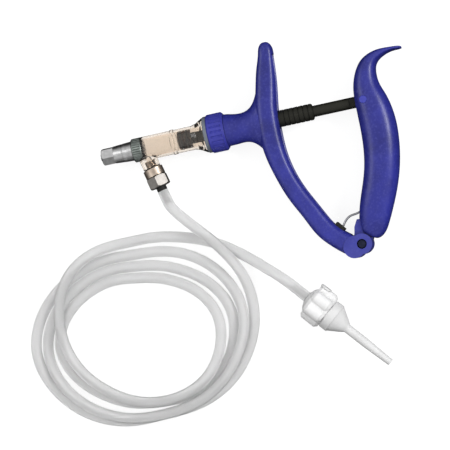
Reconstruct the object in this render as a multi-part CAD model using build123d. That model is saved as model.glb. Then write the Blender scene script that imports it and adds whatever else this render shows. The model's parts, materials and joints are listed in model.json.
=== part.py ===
from build123d import *
import math
import os

# A one-hand injector for marinade or brine: a pistol-type handle pushes a plunger through a clear barrel,
# and a side valve refills the barrel from a bottle through a long coiled hose.
# Lengths are in millimetres. +X runs along the barrel from the nozzle to the handles, +Y towards the horn of
# the front handle, +Z up off the table the injector lies on. The origin is the nozzle's front end.

# Outlet
luer_tip_r = 1.97
luer_root_r = 2.135
luer_land_r = 2.2
luer_bore_r = 0.9
lock_flats = 9.7
nozzle_front_x = 0.9
hex_end_x = 8.6
nozzle_end_x = 20.6
ring_end_x = 27.0
ring_r = 7.4
# Barrel
barrel_r = 7.4
bore_r = 6.0
flare_x = 59.0
flare_end_x = 67.0
collar_x = 69.4
flare_r = 10.7
stub_r = 9.6
stub_end_x = 75.5
collar_end_x = 80.0
collar_r = 12.0
# Plunger
piston_x = 50.0
piston_end_x = 58.0
rod_r = 3.5
rod_pin_x = 167.0
rod_pin_r = 1.75
sleeve_r = 5.15
sleeve_x = 100.0
sleeve_end_x = 135.0
# Hinge between the two handles
hinge_x = 148.3
hinge_y = -85.2
knuckle_r = 6.3
arm_end = (143.6, -86.2)
arm_end_r = 6.8
slot_reach = 8.8
hinge_pin_r = 2.0
spring_wire_r = 0.65
tongue_z = 4.9
cheek_z = 5.3
cheek_out_z = 9.0
recess_z = 7.0
swing = 11.9
# Inlet, on an axis that leans back from the barrel
inlet_x = 27.1
inlet_lean = 13.3
boss_r = 5.5
boss_end = 13.0
# Hose: table-level centre height, radii, and the coil's reach from its centre, loop by loop
hose_r = 3.3
hose_bore_r = 2.1
hose_floor_z = -8.5
hose_lift = 6.8
coil_centre = (5.5, -109.2)
loop_reach = (67.8, 60.8, 54.4, 65.0, 72.6, 57.3, 46.7, 53.0,
              60.9, 57.6, 54.1, 60.1, 65.0, 49.9, 39.3, 42.6,
              53.6, 53.0, 46.5, 50.2, 57.2, 42.6, 31.9, 34.3,
              44.3, 48.4, 46.0, 45.9, 52.3, 58.7, 54.9)
# Bottle spike
spike_x = 108.7
spike_y = -110.8
spike_turn = -49.55
cap_r = 12.0
cap_lobes = 6
spike_tip = 63.5


def tube(r, x0, x1, bore=0.0):
    """A round bar or tube along the barrel axis."""
    bar = Plane(origin=(x0, 0, 0), x_dir=(0, 1, 0), z_dir=(1, 0, 0)) * extrude_disc(r, x1 - x0)
    if bore:
        bar -= Plane(origin=(x0 - 1, 0, 0), x_dir=(0, 1, 0), z_dir=(1, 0, 0)) * extrude_disc(bore, x1 - x0 + 2)
    return bar


def extrude_disc(r, length):
    return extrude(Circle(r), length)


def turned(profile):
    """Revolve (axial, radial) points about +Z; the first and last points lie on the axis or close a bore."""
    face = Plane.XZ * make_face(Polyline(*[(r, t) for t, r in profile], close=True))
    return revolve(face, Axis.Z)


def along(origin, direction):
    """Placement that carries a part turned about +Z onto an axis lying in the table plane."""
    return Plane(origin=origin, x_dir=(0, 0, 1), z_dir=direction)


def on_barrel(shape):
    return along((0, 0, 0), (1, 0, 0)) * shape


def on_inlet(shape):
    lean = math.radians(inlet_lean)
    return along((inlet_x, 0, 0), (math.sin(lean), -math.cos(lean), 0)) * shape


def on_spike(shape):
    turn = math.radians(spike_turn)
    return along((spike_x, spike_y, 0), (math.cos(turn), math.sin(turn), 0)) * shape


def upright(r, z0, z1, x=hinge_x, y=hinge_y):
    """A round bar standing along Z."""
    return Pos(x, y, z0) * extrude_disc(r, z1 - z0)


def block(x0, x1, y0, y1, z0, z1):
    return Pos((x0 + x1) / 2, (y0 + y1) / 2, (z0 + z1) / 2) * Box(x1 - x0, y1 - y0, z1 - z0)


def coil_spring(wire_r, coil_r, t0, t1, turns):
    """A compression spring about +Z."""
    path = Pos(0, 0, t0 + wire_r) * Helix((t1 - t0 - 2 * wire_r) / turns, t1 - t0 - 2 * wire_r, coil_r)
    start = path.edges()[0]
    profile = Plane(origin=start @ 0, z_dir=start % 0) * Circle(wire_r)
    return sweep(profile, path=path)


def oval(x, y, heading, depth, width, squareness):
    """A rounded moulding section: depth in the table plane, width up and down."""
    plane = Plane(origin=(x, y, 0), x_dir=(-math.sin(heading), math.cos(heading), 0),
                  z_dir=(math.cos(heading), math.sin(heading), 0))
    points = []
    for k in range(20):
        c = math.cos(math.tau * k / 20)
        s = math.sin(math.tau * k / 20)
        u = math.copysign(abs(c) ** (2 / squareness), c) * depth / 2
        v = math.copysign(abs(s) ** (2 / squareness), s) * width / 2
        points.append(plane.from_local_coords((u, v, 0)))
    return Face(Wire([Edge.make_spline(points, periodic=True)]))


def moulding(stations, squareness=2.7):
    """Loft ovals through (x, y, depth, width) stations, each square to the line of centres."""
    faces = []
    for k, (x, y, depth, width) in enumerate(stations):
        before = stations[max(k - 1, 0)]
        after = stations[min(k + 1, len(stations) - 1)]
        heading = math.atan2(after[1] - before[1], after[0] - before[0])
        faces.append(oval(x, y, heading, depth, width, squareness))
    return loft(faces)


# ---------------------------------------------------------------- outlet

def nozzle():
    body = turned([(0, 0), (0, luer_tip_r), (5.5, luer_root_r), (5.5, luer_land_r), (7.2, luer_land_r),
                   (7.2, 3.75), (nozzle_front_x, 3.75), (nozzle_front_x, 6), (hex_end_x, 6),
                   (hex_end_x, 5.3), (14, 5.7), (14, 5.5), (14.6, 5.5), (14.6, 5.75), (nozzle_end_x, 6.1),
                   (22.2, 6.1), (22.2, 6.5), (23.6, 6.5), (23.6, 0)])
    hexagon = Rot(0, 0, 12) * extrude(RegularPolygon(lock_flats / 2, 6, major_radius=False), hex_end_x)
    hexagon &= turned([(0, 0), (0, 4.6), (0.9, 4.6), (1.7, 5.6), (hex_end_x, 5.6), (hex_end_x, 0)])
    rest = turned([(hex_end_x, 0), (hex_end_x, 6.6), (24, 6.6), (24, 0)])
    tip = turned([(0, 0), (0, 3.0), (hex_end_x, 3.0), (hex_end_x, 0)])
    body &= hexagon + rest + tip
    body -= Pos(0, 0, -1) * extrude_disc(luer_bore_r, 12)
    body -= Pos(0, 0, 10) * extrude_disc(2.6, 20)
    for t in (2.2, 4.4):
        body -= turned([(t, 3.5), (t + 0.3, 4.1), (t + 0.9, 4.1), (t + 1.2, 3.5)])
    return on_barrel(body)


def outlet_valve_poppet():
    return on_barrel(turned([(15, 0), (15, 0.9), (15.4, 1.2), (21.6, 1.2), (21.6, 2.3), (22.9, 2.3),
                             (23.55, 1.7), (23.55, 0)]))


def outlet_valve_spring():
    return on_barrel(coil_spring(0.28, 1.85, 10.05, 21.55, 6))


def nozzle_gasket():
    return tube(6.0, 23.6, 24.4, bore=1.6)


def nozzle_nut():
    nut = turned([(nozzle_end_x, 6.2), (nozzle_end_x, 6.9), (nozzle_end_x + 0.5, ring_r), (26.5, ring_r),
                  (ring_end_x, 7.0), (ring_end_x, 6.6), (22.1, 6.6), (22.1, 6.2)])
    flute = Pos(ring_r + 0.1, 0, 21.4) * Rot(0, 0, 45) * Box(0.5, 0.5, 4.9, align=(Align.CENTER, Align.CENTER, Align.MIN))
    for k in range(32):
        nut -= Rot(0, 0, 360 * k / 32) * flute
    return on_barrel(nut)


# ---------------------------------------------------------------- barrel

def barrel():
    shell = turned([(24.4, 1.6), (24.4, 6.55), (27.1, 6.55), (27.1, barrel_r), (45.4, barrel_r), (45.7, 7.8),
                    (47.6, 7.8), (47.9, barrel_r), (flare_x, barrel_r), (62, 8.2), (65, 9.9), (66.4, flare_r),
                    (flare_end_x, flare_r), (flare_end_x, stub_r), (stub_end_x, stub_r), (stub_end_x, bore_r),
                    (28.1, bore_r), (27.5, bore_r - 0.6), (27.5, 1.6)])
    shell = on_barrel(shell)
    boss = on_inlet(turned([(5.5, 0), (5.5, boss_r), (boss_end - 0.5, boss_r), (boss_end, boss_r - 0.5),
                            (boss_end, 0)]))
    boss -= tube(ring_r + 0.2, 15, ring_end_x + 0.1)
    boss -= tube(bore_r, 27.5, 45)
    boss -= tube(6.2, 20, 27.5)
    shell += boss
    shell -= on_inlet(turned([(3.0, 0), (3.0, 1.5), (8.6, 1.5), (8.6, 3.2), (boss_end + 1, 3.2), (boss_end + 1, 0)]))
    return shell


def barrel_seal():
    return tube(9.4, stub_end_x, stub_end_x + 1.0, bore=bore_r + 0.2)


def barrel_collar():
    collar = turned([(collar_x, stub_r + 0.05), (collar_x, collar_r - 0.7), (collar_x + 0.7, collar_r),
                     (collar_end_x - 1.2, collar_r), (collar_end_x, collar_r - 1.2), (collar_end_x, stub_r + 0.05)])
    flute = Pos(collar_r + 0.35, 0, collar_x + 2.2) * extrude_disc(0.7, 7.0)
    for k in range(24):
        collar -= Rot(0, 0, 360 * k / 24) * flute
    return on_barrel(collar)


def collar_ring():
    """Slate ring between the barrel's flare and the blue collar."""
    return on_barrel(turned([(flare_end_x + 0.05, stub_r + 0.05), (flare_end_x + 0.05, 10.9),
                             (flare_end_x + 0.5, 11.3), (collar_x - 0.05, 11.3), (collar_x - 0.05, stub_r + 0.05)]))


# ---------------------------------------------------------------- front handle

def neck():
    """Round neck behind the collar that spreads into the horn and the arm."""
    stations = ((80.0, 0, 10.0, 10.0), (84.5, -0.2, 9.6, 9.3), (91, -0.5, 9.1, 8.6), (95.5, -0.7, 10.4, 8.8),
                (99, -0.9, 13.4, 9.0), (102.5, -0.5, 19.0, 9.0), (105.5, 0, 24.0, 8.0))
    faces = []
    for x, y, half_y, half_z in stations:
        faces.append(oval(x, y, 0, 2 * half_y, 2 * half_z, 2.0))
    return loft(faces)


def finger_channel(stations, side, depth, width):
    """A shallow moulded channel along one edge of a handle."""
    faces = []
    for k, (x, y, thick, _) in enumerate(stations):
        before = stations[max(k - 1, 0)]
        after = stations[min(k + 1, len(stations) - 1)]
        heading = math.atan2(after[1] - before[1], after[0] - before[0])
        off = side * (thick / 2 + 1.2)
        faces.append(oval(x - math.sin(heading) * off, y + math.cos(heading) * off, heading, 2 * depth + 2.4, width,
                          3.0))
    return loft(faces)


front_stations = (
    (114.2, 47.8, 2.0, 5.0), (114.2, 47.1, 5.0, 8.5), (114.1, 45.0, 7.8, 11.0), (113.6, 40.5, 9.3, 12.5),
    (112.0, 32, 11.4, 14), (109.8, 20, 13.0, 17), (107.6, 8.0, 13.7, 19.5), (106.8, -5, 13.8, 19.5),
    (107.4, -19, 13.2, 18), (110.3, -33, 12.2, 17), (115.2, -46.8, 12.2, 16.5), (122.1, -60.6, 12.2, 16.5),
    (128.3, -72.2, 12.4, 16.9), (133.3, -78.0, 12.2, 17.2), (138.4, -82.5, 12.4, 17.3), (142.6, -85.3, 12.6, 17.3))


def front_handle():
    shell = moulding(front_stations, 3.3) + neck()
    shell += upright(knuckle_r, -cheek_out_z, cheek_out_z)
    shell += upright(arm_end_r, -cheek_out_z, cheek_out_z, *arm_end)
    shell += tube(stub_r, stub_end_x + 1.0, collar_end_x + 0.5)
    shell -= finger_channel(front_stations[3:14], 1, 2.4, 9.0)
    shell -= upright(slot_reach, -cheek_z, cheek_z)
    shell -= upright(hinge_pin_r + 0.03, -20, 20)
    shell -= upright(3.0, recess_z, 20)
    shell -= upright(3.9, -20, -recess_z)
    shell -= tube(rod_r + 0.4, 70, 125)
    shell -= tube(bore_r + 0.2, 70, 77.5)
    shell -= tube(5.0, 81.0, 90.0)
    shell -= tube(5.0, 70.0, 81.5)
    shell -= tube(sleeve_r + 0.05, 99.5, 125)
    shell -= anchor_block(0.05)
    shell -= spring_wire(0.9)
    return shell


def rod_guide_bush():
    return tube(4.98, 81.6, 90.0, bore=rod_r + 0.04)


def rod_wiper():
    return tube(4.98, 78.6, 81.5, bore=rod_r + 0.05)


def spring_anchor():
    """Black block let into the arm, which grips the wire spring's front end."""
    return anchor_block(0) - spring_wire(spring_wire_r + 0.05)


def anchor_block(grow):
    block_size = Box(6.6 + 2 * grow, 5.6 + 2 * grow, 8.2 + 2 * grow)
    return Pos(135.7, -73.3, 0) * Rot(0, 0, -51) * block_size


def hinge_pin():
    """Pin with a flat head; the retaining clip sits in its groove."""
    pin = turned([(-8.5, 0), (-8.5, 1.6), (-8.1, hinge_pin_r), (-7.7, hinge_pin_r), (-7.7, 1.5), (-7.05, 1.5),
                  (-7.05, hinge_pin_r), (recess_z + 0.05, hinge_pin_r), (recess_z + 0.05, 2.8), (7.7, 2.8), (8.0, 2.4),
                  (8.0, 0)])
    return Pos(hinge_x, hinge_y, 0) * pin


def hinge_clip():
    ring = Pos(hinge_x, hinge_y, -7.65) * (extrude_disc(3.6, 0.54) - extrude_disc(1.52, 0.54))
    return ring - block(hinge_x - 0.8, hinge_x + 0.8, hinge_y - 5, hinge_y, -10, -6)


def hinge_washers():
    washer = extrude_disc(5.6, 0.3) - extrude_disc(hinge_pin_r + 0.05, 0.3)
    return [Pos(hinge_x, hinge_y, tongue_z + 0.05) * washer, Pos(hinge_x, hinge_y, -tongue_z - 0.35) * washer]


# ---------------------------------------------------------------- rear handle

rear_stations = (
    (153.8, -81.8, 7.6, 10.4), (154.4, -80.6, 11.9, 12.4), (155.8, -78.0, 15.6, 14.0), (157.6, -73.6, 18.0, 16),
    (160.6, -65.5, 20.0, 19), (165.2, -54, 21.0, 22),
    (169.1, -42, 21.4, 23.5), (171.7, -27, 22.0, 24), (172.1, -12, 21.8, 24), (170.8, 0, 19.4, 23),
    (170.0, 8, 16.2, 21.5), (171.2, 15.6, 13.0, 19.5), (174.4, 21.8, 9.6, 17.5), (178.9, 25.0, 6.6, 16),
    (184.2, 26.6, 4.2, 14.5), (190.3, 27.1, 2.4, 12.5), (195.4, 26.7, 1.2, 8.0))


def rear_handle():
    lever = moulding(rear_stations)
    lever -= upright(knuckle_r + 0.5, -20, 20)
    lever -= upright(arm_end_r + 0.5, -20, 20, *arm_end)
    lever += tongue()
    lever -= upright(hinge_pin_r + 0.03, -20, 20)
    lever -= block(150, 173.0, -8.8, 7.2, -4.2, 4.2)
    lever -= upright(rod_pin_r + 0.02, -20, 20, rod_pin_x, 0)
    lever -= upright(2.45, 9.0, 20, rod_pin_x, 0)
    lever -= upright(2.45, -20, -9.0, rod_pin_x, 0)
    lever -= spring_wire(spring_wire_r + 0.05)
    return lever


def tongue():
    """Flat web that reaches from the lever into the fork of the front arm."""
    outline = Polyline((hinge_x - 4.6, hinge_y + 4.0), (hinge_x - 3.4, hinge_y + 7.4), (145.6, -74.2), (147.9, -70.0),
                       (158, -70), (160.8, -78), (155.4, -82.8), (hinge_x + 4.0, hinge_y - 4.4), (hinge_x, hinge_y),
                       close=True)
    web = Pos(0, 0, -tongue_z) * extrude(make_face(outline), 2 * tongue_z)
    return web + upright(knuckle_r - 0.2, -tongue_z, tongue_z)


def rod_pin():
    return upright(rod_pin_r, -9.0, 9.0, rod_pin_x, 0)


def pin_plugs():
    plug = turned([(0, 0), (0, 2.4), (2.4, 2.4), (2.7, 2.1), (2.7, 0)])
    return [Pos(rod_pin_x, 0, 9.0) * plug, Pos(rod_pin_x, 0, -9.0) * Rot(180, 0, 0) * plug]


def return_spring():
    """Wire bow that holds the handles apart, hooked into the block in front and the lever behind."""
    return spring_wire(spring_wire_r)


def spring_wire(r):
    points = ((136.4, -73.6, 0), (138.6, -72.2, 0), (140.1, -70.2, 0), (141.7, -68.5, 0), (144.3, -67.0, 0),
              (147.6, -66.5, 0), (150.6, -65.7, 0), (153.2, -64.5, 0))
    path = Edge.make_spline([Vector(*p) for p in points])
    return sweep(Plane(origin=path @ 0, z_dir=path % 0) * Circle(r), path=path)


# ---------------------------------------------------------------- plunger

def piston():
    return on_barrel(turned([(piston_x, 0), (piston_x, 5.3), (piston_x + 0.5, 5.8), (51.2, 5.8), (51.2, 4.5),
                             (52.8, 4.5), (52.8, 5.8), (55.2, 5.8), (55.2, 4.5), (56.8, 4.5), (56.8, 5.8),
                             (piston_end_x, 5.8), (piston_end_x, 2.5), (53.9, 2.5), (53.9, 0)]))


def piston_o_rings():
    ring = Torus(5.25, 0.72)
    return [along((x, 0, 0), (1, 0, 0)) * ring for x in (52.0, 56.0)]


def plunger_rod():
    rod = turned([(54.0, 0), (54.0, 2.1), (54.4, 2.45), (piston_end_x, 2.45), (piston_end_x, rod_r), (158, rod_r),
                  (170.6, rod_r), (170.6, 0)])
    rod = on_barrel(rod)
    rod -= block(157.5, 180, -6, 6, 2.6, 8)
    rod -= block(157.5, 180, -6, 6, -8, -2.6)
    slot = upright(rod_pin_r + 0.2, -8, 8, rod_pin_x, -0.2) + upright(rod_pin_r + 0.2, -8, 8, rod_pin_x, 3.2)
    slot += block(rod_pin_x - rod_pin_r - 0.2, rod_pin_x + rod_pin_r + 0.2, -0.2, 3.2, -8, 8)
    eye = block(161.5, 170.6, -4.2, 6.4, -2.6, 2.6)
    eye &= Pos(166.0, 1.2, -4) * extrude_disc(5.6, 8)
    return rod + eye - slot


def dose_sleeve():
    sleeve = turned([(sleeve_x, rod_r + 0.05), (sleeve_x, sleeve_r), (sleeve_end_x - 0.8, sleeve_r),
                     (sleeve_end_x, sleeve_r - 0.8), (sleeve_end_x, rod_r + 0.05)])
    for t in (117, 120, 123, 126, 129, 132):
        sleeve -= turned([(t, sleeve_r + 0.1), (t, sleeve_r - 0.35), (t + 0.6, sleeve_r - 0.35),
                          (t + 0.6, sleeve_r + 0.1)])
    return on_barrel(sleeve)


# ---------------------------------------------------------------- inlet

def inlet_gasket():
    return on_inlet(turned([(boss_end, 3.25), (boss_end, 5.2), (13.6, 5.2), (13.6, 3.25)]))


def inlet_valve_body():
    body = turned([(9.0, 1.6), (9.0, 3.15), (13.65, 3.15), (13.65, 6.0), (13.9, 6.25), (18.6, 6.25), (19.0, 5.8),
                   (19.0, 4.0), (23.4, 4.0), (23.4, 1.3), (16.5, 1.3), (16.5, 2.2), (9.5, 2.2), (9.5, 1.6)])
    return on_inlet(body)


def inlet_valve_poppet():
    return on_inlet(turned([(11.2, 0), (11.2, 0.8), (14.8, 0.8), (14.8, 1.9), (16.0, 1.9), (16.45, 1.5),
                            (16.45, 0)]))


def inlet_valve_spring():
    return on_inlet(coil_spring(0.22, 1.5, 9.55, 14.75, 5))


def inlet_nut():
    nut = extrude(RegularPolygon(7.0, 6, major_radius=True), 6.6)
    nut = Pos(0, 0, 19.1) * nut
    nut &= turned([(19.1, 0), (19.1, 6.3), (19.9, 7.2), (24.9, 7.2), (25.7, 6.3), (25.7, 0)])
    nut -= turned([(19.0, 0), (19.0, 4.05), (24.6, 4.05), (24.6, 2.6), (27, 2.6), (27, 0)])
    return on_inlet(nut)


def hose_barb():
    profile = [(23.45, 1.2), (23.45, 3.9), (24.5, 3.9), (24.5, 2.05), (29.5, 1.75)]
    for t in (30.0, 32.5, 35.0):
        profile += [(t, 2.0), (t + 2.4, 1.75)]
    profile += [(37.4, 1.2)]
    return on_inlet(turned(profile))


def inlet_seal():
    """Black sleeve between the nut and the hose."""
    return on_inlet(turned([(25.75, 2.1), (25.75, 3.2), (28.5, 3.2), (28.5, 2.1)]))


# ---------------------------------------------------------------- hose

def smooth(t):
    t = min(max(t, 0.0), 1.0)
    return t * t * (3 - 2 * t)


def coil_points():
    """Four loops, clockwise from the right; the second and fourth climb over the first and third.

    loop_reach gives the reach from the coil's centre at eight compass points per loop.
    """
    points = []
    for step in range(2 * (len(loop_reach) - 1)):
        angle = -math.pi / 8 * step
        reach = halfway_reach(step // 2) if step % 2 else loop_reach[step // 2]
        points.append((coil_centre[0] + reach * math.cos(angle), coil_centre[1] + reach * math.sin(angle),
                       hose_floor_z + hose_lift * lift(step / 16)))
    return points


def halfway_reach(k):
    """Smooth reach between compass points k and k + 1."""
    before = loop_reach[max(k - 1, 0)]
    after = loop_reach[min(k + 2, len(loop_reach) - 1)]
    return (9 * (loop_reach[k] + loop_reach[k + 1]) - before - after) / 16


def lift(turns):
    """Share of the full lift at a place along the coil, in turns from its start."""
    second = smooth((turns - 0.955) / 0.11) - smooth((turns - 1.395) / 0.115)
    fourth = smooth((turns - 3.0) / 0.12) - smooth((turns - 3.66) / 0.1)
    return max(second, fourth)


def hose_line():
    lean = math.radians(inlet_lean)
    turn = math.radians(spike_turn)
    lead = [(inlet_x + t * math.sin(lean), -t * math.cos(lean), 0) for t in (28.7, 30.7, 32.7, 34.7, 36.9)]
    lead += [(41.6, -45.8, -0.2), (49.0, -54.6, -0.6), (58.8, -66.2, -1.1), (65.8, -76.8, -2.0), (70.4, -87, -5.2),
             (72.8, -98, -8.3)]
    top = coil_centre[1] + loop_reach[-1]
    ride = [(coil_centre[0], top, hose_floor_z), (18.3, -54.5, hose_floor_z), (32.2, -56.7, hose_floor_z),
            (48.3, -61.6, hose_floor_z), (61.9, -68.4, hose_floor_z), (80.9, -82.8, -6.0), (92.3, -92.9, -1.6)]
    tail = [(spike_x + t * math.cos(turn), spike_y + t * math.sin(turn), 0) for t in (-14.0, -11.0, -8.0, -5.0, -3.0, -1.0)]
    return lead + coil_points() + ride + tail


def hose():
    centre = Edge.make_spline([Vector(*p) for p in hose_line()])
    count = 90
    path = Wire([centre.trim(k / count, (k + 1) / count) for k in range(count)])
    start = Plane(origin=centre @ 0, z_dir=centre % 0)
    return sweep(start * Circle(hose_r), path=path) - sweep(start * Circle(hose_bore_r), path=path)


# ---------------------------------------------------------------- bottle spike

def spike():
    body = turned([(-12.0, 0), (-12.0, 1.6), (-11.2, 1.98), (-0.7, 1.98), (-0.7, 4.2), (-0.1, 5.0), (12.0, 5.0),
                   (12.0, 7.0), (15.2, 7.0), (15.2, 9.0), (15.8, 9.4), (20.4, 9.4), (21.2, 8.6), (23.0, 7.5),
                   (28.0, 4.4), (30.0, 2.8), (44.0, 2.8), (spike_tip, 2.1), (spike_tip, 0)])
    bevel = Pos(-3.2, 0, spike_tip) * Rot(0, -62, 0) * Box(40, 12, 12, align=(Align.CENTER, Align.CENTER, Align.MIN))
    body -= bevel
    body -= Pos(0, 0, -13) * extrude_disc(1.2, 71)
    return on_spike(body)


def bottle_cap():
    """Lobed grip that turns on the spike's stem."""
    drum = turned([(1.4, 0), (1.4, 8.0), (3.4, 9.4), (13.0, 9.4), (15.0, 8.8), (15.0, 0)])
    lobe = Pos(cap_r - 4.3, 0, 0) * turned([(1.9, 0), (1.9, 2.6), (3.6, 4.3), (13.0, 4.3), (14.7, 2.8), (14.7, 0)])
    for k in range(cap_lobes):
        drum += Rot(0, 0, 360 * (k + 0.5) / cap_lobes) * lobe
    drum -= extrude_disc(5.06, 12.6)
    drum -= Pos(0, 0, 11.4) * extrude_disc(7.06, 6)
    drum -= vent_seat()
    return on_spike(drum)


def vent_seat():
    return Pos(0, 0, 5.2) * Rot(90, 0, 0) * (Pos(0, 0, 7.5) * extrude_disc(2.2, 12) + Pos(0, 0, 10.75) * extrude_disc(4.0, 5))


def cap_retainer():
    """Domed ring that keeps the cap on the stem."""
    return on_spike(turned([(0.0, 5.02), (0.0, 6.0), (1.2, 7.6), (1.32, 7.6), (1.32, 5.02)]))


def vent_filter():
    return on_spike(Pos(0, 0, 5.2) * Rot(90, 0, 0) * Pos(0, 0, 7.5) * extrude_disc(2.15, 1.4))


def vent_cap():
    plug = turned([(9.0, 0), (9.0, 2.15), (10.8, 2.15), (10.8, 3.6), (11.6, 3.9), (12.2, 3.6), (12.2, 0)])
    return on_spike(Pos(0, 0, 5.2) * Rot(90, 0, 0) * (plug - Pos(0, 0, 8) * extrude_disc(0.6, 6)))


def write(name, shape):
    if isinstance(shape, list):
        shape = Compound(children=[item for item in shape])
    export_step(shape, "parts/" + name + ".step")


os.makedirs("parts", exist_ok=True)
for make in (nozzle, outlet_valve_poppet, outlet_valve_spring, nozzle_gasket, nozzle_nut, barrel, barrel_seal,
             barrel_collar, collar_ring, front_handle, rod_guide_bush, rod_wiper, spring_anchor, hinge_pin, hinge_clip,
             hinge_washers, rear_handle, rod_pin, pin_plugs, return_spring, piston, piston_o_rings, plunger_rod,
             dose_sleeve, inlet_gasket, inlet_valve_body, inlet_valve_poppet, inlet_valve_spring, inlet_nut,
             hose_barb, inlet_seal, hose, spike, bottle_cap, cap_retainer, vent_filter, vent_cap):
    write(make.__name__, make())
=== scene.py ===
import bpy
import json
import math
from mathutils import Matrix, Vector


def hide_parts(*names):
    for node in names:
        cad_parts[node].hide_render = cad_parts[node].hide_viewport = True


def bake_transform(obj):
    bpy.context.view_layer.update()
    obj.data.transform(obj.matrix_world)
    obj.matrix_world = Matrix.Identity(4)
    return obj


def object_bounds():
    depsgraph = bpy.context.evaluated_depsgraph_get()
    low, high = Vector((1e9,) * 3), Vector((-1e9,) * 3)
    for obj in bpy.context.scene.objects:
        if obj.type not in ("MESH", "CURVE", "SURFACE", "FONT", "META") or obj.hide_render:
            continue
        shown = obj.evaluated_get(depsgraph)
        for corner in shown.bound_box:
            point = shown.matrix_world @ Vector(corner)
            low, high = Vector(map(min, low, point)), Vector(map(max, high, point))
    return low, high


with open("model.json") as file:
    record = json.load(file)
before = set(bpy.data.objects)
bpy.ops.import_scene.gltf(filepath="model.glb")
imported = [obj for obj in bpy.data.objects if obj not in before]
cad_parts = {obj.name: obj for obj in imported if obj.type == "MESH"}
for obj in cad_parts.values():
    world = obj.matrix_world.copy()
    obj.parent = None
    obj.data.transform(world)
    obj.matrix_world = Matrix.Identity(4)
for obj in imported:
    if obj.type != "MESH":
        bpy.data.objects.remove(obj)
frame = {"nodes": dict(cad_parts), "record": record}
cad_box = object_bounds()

nodes = frame["nodes"]
MM = 0.001


# ---------------------------------------------------------------- materials

class Graph:
    """A material's node tree with short ways to add and join nodes."""

    def __init__(self, name):
        self.material = bpy.data.materials.new(name)
        self.material.use_nodes = True
        self.tree = self.material.node_tree
        self.shader = self.tree.nodes["Principled BSDF"]
        self.place = self.tree.nodes.new("ShaderNodeNewGeometry")

    def node(self, kind, **values):
        made = self.tree.nodes.new(kind)
        for key, value in values.items():
            if key in made.inputs:
                made.inputs[key].default_value = value
            else:
                setattr(made, key, value)
        return made

    def join(self, output, socket):
        """Links an output to a socket, which may be given by its name on the shader."""
        target = self.shader.inputs[socket] if isinstance(socket, str) else socket
        self.tree.links.new(output, target)

    def set(self, **values):
        for key, value in values.items():
            self.shader.inputs[key.replace("_", " ")].default_value = value

    def noise(self, scale, detail=3.0, stretch=None):
        """Noise in object space: scale is in cells per metre."""
        made = self.node("ShaderNodeTexNoise", Scale=scale, Detail=detail, Roughness=0.55)
        source = self.place.outputs["Position"]
        if stretch:
            mapping = self.node("ShaderNodeMapping")
            mapping.inputs["Scale"].default_value = stretch
            self.join(source, mapping.inputs["Vector"])
            source = mapping.outputs["Vector"]
        self.join(source, made.inputs["Vector"])
        return made.outputs["Fac"]

    def ramp(self, source, stops):
        """Colour between two (place, colour) stops."""
        made = self.node("ShaderNodeValToRGB")
        elements = made.color_ramp.elements
        for element, (place, colour) in zip(elements, stops):
            element.position = place
            element.color = (*colour, 1.0)
        self.join(source, made.inputs["Fac"])
        return made.outputs["Color"]

    def mask(self, source, black, white):
        """0 where the source is at black, 1 where it is at white."""
        made = self.node("ShaderNodeMapRange")
        made.inputs["From Min"].default_value = black
        made.inputs["From Max"].default_value = white
        self.join(source, made.inputs["Value"])
        return made.outputs["Result"]

    def spread(self, source, low, high):
        """Stretches 0..1 to low..high."""
        made = self.node("ShaderNodeMapRange")
        made.inputs["To Min"].default_value = low
        made.inputs["To Max"].default_value = high
        self.join(source, made.inputs["Value"])
        return made.outputs["Result"]

    def blend(self, factor, a, b):
        """Colour a where the factor is 0 and b where it is 1."""
        made = self.node("ShaderNodeMix", data_type="RGBA")
        for value, socket in ((factor, made.inputs[0]), (a, made.inputs[6]), (b, made.inputs[7])):
            if hasattr(value, "links"):
                self.join(value, socket)
            else:
                socket.default_value = (*value, 1.0)
        return made.outputs[2]

    def bump(self, height, strength, distance):
        """Adds a bump on top of any bump that is there already."""
        made = self.node("ShaderNodeBump", Strength=strength, Distance=distance)
        self.join(height, made.inputs["Height"])
        normal = self.shader.inputs["Normal"]
        if normal.links:
            self.join(normal.links[0].from_socket, made.inputs["Normal"])
        self.join(made.outputs["Normal"], normal)

    def edges(self, amount):
        """Rises to amount on convex edges, where hands rub the surface."""
        return self.spread(self.mask(self.place.outputs["Pointiness"], 0.51, 0.60), 0.0, amount)

    def painted_hollow_shade(self, reach, amount):
        """Painted shade: rises to amount in grooves and corners narrower than reach, where little light
        gets in.
        """
        shade = self.node("ShaderNodeAmbientOcclusion", Distance=reach, samples=6)
        return self.spread(self.mask(shade.outputs["AO"], 0.85, 0.35), 0.0, amount)


def dimmed(colour, share):
    return tuple(share * c for c in colour)


def moulded_plastic(name, colour, deep, worn, rough=0.36, coat=0.06, gloss=0.32):
    """Injection-moulded plastic: cloudy flow, pebbled skin, rubbed edges and painted shade in the hollows.
    """
    g = Graph(name)
    cloud = g.ramp(g.noise(45, 4), [(0.34, deep), (0.66, colour)])
    speck = g.blend(g.spread(g.mask(g.noise(700, 2), 0.5, 0.72), 0.0, 0.35), cloud, worn)
    rubbed = g.blend(g.edges(0.45), speck, worn)
    # painted shade: the base colour darkens towards a dimmed deep tone in grooves and corners
    g.join(g.blend(g.painted_hollow_shade(0.007, 0.75), rubbed, dimmed(deep, 0.3)), "Base Color")
    scuffs = g.noise(210, 5, stretch=(1, 2.5, 1))
    g.join(g.spread(scuffs, rough - 0.08, rough + 0.12), "Roughness")
    g.set(Coat_Weight=coat, Coat_Roughness=0.25, Specular_IOR_Level=gloss)
    g.bump(g.noise(1100, 2), 0.12, 0.0002)
    g.bump(g.noise(150, 2), 0.10, 0.0004)
    return g.material


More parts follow.
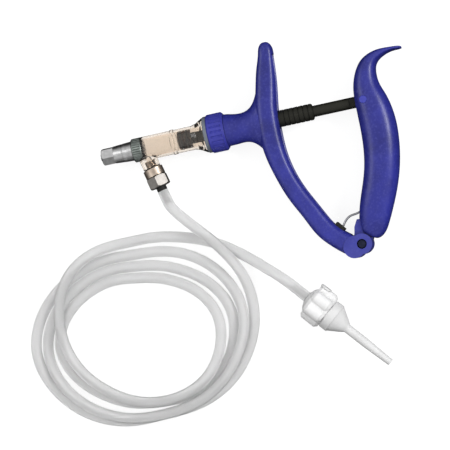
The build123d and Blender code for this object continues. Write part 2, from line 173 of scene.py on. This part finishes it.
def metal(name, colour, dark, rough, brushed=(1, 1, 1)):
    """Plated or turned metal with tool marks, bright edges and painted shade in the hollows."""
    g = Graph(name)
    tone = g.ramp(g.noise(420, 5), [(0.3, dark), (0.62, colour)])
    rubbed = g.blend(g.edges(0.5), tone, tuple(min(1.3 * c, 1.0) for c in colour))
    # painted shade: the base colour darkens towards a dimmed dark tone in grooves and corners
    g.join(g.blend(g.painted_hollow_shade(0.0025, 0.7), rubbed, dimmed(dark, 0.3)), "Base Color")
    marks = g.noise(900, 3, stretch=brushed)
    g.join(g.spread(marks, rough - 0.06, rough + 0.12), "Roughness")
    g.set(Metallic=1.0)
    g.bump(marks, 0.18, 0.00015)
    return g.material


def rubber(name, colour):
    g = Graph(name)
    g.join(g.ramp(g.noise(500, 4), [(0.3, dimmed(colour, 0.6)), (0.7, colour)]), "Base Color")
    g.join(g.spread(g.noise(260, 3), 0.48, 0.66), "Roughness")
    g.set(Specular_IOR_Level=0.25)
    g.bump(g.noise(1400, 3), 0.25, 0.0002)
    return g.material


def clear_plastic(name, colour, deep, rough, transmission, ior, gloss=0.5, body=0.0):
    """Clear or milky moulded plastic with faint haze and flow streaks."""
    g = Graph(name)
    streaks = g.ramp(g.noise(60, 3), [(0.3, deep), (0.7, colour)])
    # painted shade: the base colour darkens towards a dimmed deep tone in grooves and corners
    g.join(g.blend(g.painted_hollow_shade(0.003, 0.35), streaks, dimmed(deep, 0.55)), "Base Color")
    g.join(g.spread(g.noise(300, 4), max(0.02, rough - 0.05), rough + 0.06), "Roughness")
    g.set(Transmission_Weight=transmission, IOR=ior, Specular_IOR_Level=gloss)
    g.set(Subsurface_Weight=body)
    g.shader.inputs["Subsurface Radius"].default_value = (0.004, 0.004, 0.004)
    g.bump(g.noise(120, 2), 0.08, 0.0003)
    return g.material


AROUND_BARREL = (1, 6, 6)
recipes = {
    "blue_plastic": (moulded_plastic, dict(
        colour=(0.024, 0.028, 0.260), deep=(0.013, 0.015, 0.150), worn=(0.060, 0.066, 0.31))),
    "blue_collar": (moulded_plastic, dict(
        colour=(0.025, 0.029, 0.28), deep=(0.015, 0.018, 0.18), worn=(0.07, 0.07, 0.35))),
    "slate_plastic": (moulded_plastic, dict(
        colour=(0.085, 0.10, 0.13), deep=(0.05, 0.06, 0.085), worn=(0.2, 0.22, 0.25))),
    "bright_blue": (moulded_plastic, dict(
        colour=(0.026, 0.030, 0.33), deep=(0.018, 0.022, 0.26), worn=(0.08, 0.09, 0.42))),
    "amber_clear": (clear_plastic, dict(
        colour=(0.965, 0.885, 0.80), deep=(0.945, 0.845, 0.74), rough=0.05, transmission=0.985, ior=1.45)),
    "black_rubber": (rubber, dict(colour=(0.014, 0.014, 0.013))),
    "black_plastic": (moulded_plastic, dict(
        colour=(0.009, 0.009, 0.006), deep=(0.005, 0.005, 0.003), worn=(0.028, 0.028, 0.022),
        rough=0.42, coat=0.0, gloss=0.17)),
    "brown_piston": (moulded_plastic, dict(
        colour=(0.060, 0.026, 0.010), deep=(0.035, 0.015, 0.006), worn=(0.10, 0.055, 0.03),
        rough=0.5, coat=0.0, gloss=0.12)),
    "nickel": (metal, dict(
        colour=(0.56, 0.56, 0.56), dark=(0.38, 0.38, 0.38), rough=0.28, brushed=AROUND_BARREL)),
    "grey_nickel": (metal, dict(
        colour=(0.27, 0.255, 0.24), dark=(0.15, 0.14, 0.13), rough=0.44, brushed=AROUND_BARREL)),
    "dark_nickel": (metal, dict(
        colour=(0.27, 0.30, 0.28), dark=(0.16, 0.18, 0.17), rough=0.34, brushed=AROUND_BARREL)),
    "warm_nickel": (metal, dict(
        colour=(0.44, 0.37, 0.31), dark=(0.28, 0.22, 0.17), rough=0.38, brushed=AROUND_BARREL)),
    "blackened_steel": (metal, dict(
        colour=(0.030, 0.034, 0.060), dark=(0.015, 0.017, 0.035), rough=0.42)),
    "spring_steel": (metal, dict(colour=(0.42, 0.42, 0.44), dark=(0.28, 0.28, 0.30), rough=0.28)),
    "clear_hose": (clear_plastic, dict(
        colour=(0.95, 0.95, 0.95), deep=(0.90, 0.90, 0.90), rough=0.34, transmission=0.72, ior=1.24,
        gloss=0.35)),
    "white_plastic": (clear_plastic, dict(
        colour=(0.76, 0.76, 0.76), deep=(0.69, 0.69, 0.69), rough=0.38, transmission=0.12, ior=1.45,
        gloss=0.25, body=0.4)),
    "bright_white": (clear_plastic, dict(
        colour=(0.87, 0.87, 0.87), deep=(0.80, 0.80, 0.80), rough=0.38, transmission=0.12, ior=1.45,
        gloss=0.25, body=0.4)),
    "filter_felt": (rubber, dict(colour=(0.7, 0.7, 0.66))),
}
materials = {name: make(name, **values) for name, (make, values) in recipes.items()}
material_of = {part["node"]: part["material_slot"] for part in frame["record"]["subparts"]}
material_of["inlet_valve_body"] = "warm_nickel"
material_of["inlet_nut"] = "grey_nickel"
material_of["bottle_cap"] = "bright_white"
CREASE = math.radians(32)


def finish(thing, material):
    """Gives an object its material, and smooth shading that keeps edges sharper than the crease angle."""
    thing.data.materials.clear()
    thing.data.materials.append(material)
    for face in thing.data.polygons:
        face.use_smooth = True
    split = thing.modifiers.new("creases", "EDGE_SPLIT")
    split.split_angle = CREASE


for name, thing in nodes.items():
    finish(thing, materials[material_of[name]])


# ---------------------------------------------------------------- springs

def flexing_spring(name, node):
    """Copies a spring node's mesh into a new object in spring steel, and hides the node."""
    spring = bpy.data.objects.new(name, nodes[node].data.copy())
    bpy.context.scene.collection.objects.link(spring)
    finish(spring, materials["spring_steel"])
    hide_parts(node)
    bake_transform(spring)


def springs():
    flexing_spring("lever_wire", "return_spring")
    flexing_spring("outlet_coil", "outlet_valve_spring")
    flexing_spring("inlet_coil", "inlet_valve_spring")


springs()


# ---------------------------------------------------------------- stage, light and camera

def floor():
    """Pale table with a glow of its own, so it shows little shadow and does not mirror in the object."""
    half = 3.0
    low = cad_box[0][2]
    mesh = bpy.data.meshes.new("floor")
    corners = [(-half, -half, low), (half, -half, low), (half, half, low), (-half, half, low)]
    mesh.from_pydata(corners, [], [(0, 1, 2, 3)])
    plane = bpy.data.objects.new("floor", mesh)
    bpy.context.scene.collection.objects.link(plane)
    g = Graph("floor")
    g.join(g.ramp(g.noise(2.0, 2), [(0.3, (0.20, 0.20, 0.20)), (0.7, (0.22, 0.22, 0.22))]), "Base Color")
    g.set(Roughness=1.0, Emission_Color=(1, 1, 1, 1), Emission_Strength=0.86)
    plane.data.materials.append(g.material)
    plane.visible_diffuse = False
    plane.visible_glossy = False


def area_light(name, place, size, power):
    target = (Vector(cad_box[0]) + Vector(cad_box[1])) / 2
    data = bpy.data.lights.new(name, "AREA")
    data.shape = "DISK"
    data.size = size
    data.energy = power
    lamp = bpy.data.objects.new(name, data)
    lamp.location = place
    lamp.rotation_euler = (target - Vector(place)).to_track_quat("-Z", "Y").to_euler()
    bpy.context.scene.collection.objects.link(lamp)


def studio():
    """Soft white tent overhead that darkens towards the horizon and below it."""
    world = bpy.data.worlds.new("studio")
    world.use_nodes = True
    tree = world.node_tree
    direction = tree.nodes.new("ShaderNodeTexCoord")
    split = tree.nodes.new("ShaderNodeSeparateXYZ")
    ramp = tree.nodes.new("ShaderNodeValToRGB")
    tree.links.new(direction.outputs["Generated"], split.inputs[0])
    tree.links.new(split.outputs["Z"], ramp.inputs["Fac"])
    tree.links.new(ramp.outputs["Color"], tree.nodes["Background"].inputs["Color"])
    ramp.color_ramp.elements[0].color = (0.03, 0.03, 0.03, 1)
    ramp.color_ramp.elements[1].position = 0.55
    tree.nodes["Background"].inputs["Strength"].default_value = 0.78
    bpy.context.scene.world = world
    bpy.context.scene.view_settings.view_transform = "Standard"


def camera():
    """Long lens looking down on the table, rolled so that the barrel climbs to the right."""
    roll = math.radians(11.84)
    lean = math.radians(9.0)
    right = Vector((math.cos(roll), -math.sin(roll), 0))
    up = Vector((math.sin(roll), math.cos(roll), 0))
    above = Vector((0, 0, 1))
    back = right * math.sin(lean) + above * math.cos(lean)
    across = right * math.cos(lean) - above * math.sin(lean)
    aim = Vector((67.4, -56.6, 0)) * MM
    distance = 1.3
    view_width = 276.5 * MM
    data = bpy.data.cameras.new("camera")
    data.sensor_width = 36
    data.lens = data.sensor_width * distance / view_width
    data.clip_end = 10
    made = bpy.data.objects.new("camera", data)
    turned = Matrix((across, up, back)).transposed().to_4x4()
    made.matrix_world = Matrix.Translation(aim + back * distance) @ turned
    bpy.context.scene.collection.objects.link(made)
    bpy.context.scene.camera = made


floor()
studio()
area_light("key", (0.85, 0.10, 0.60), 0.35, 6.5)
area_light("fill", (-0.6, 0.25, 0.75), 0.6, 3.0)
camera()
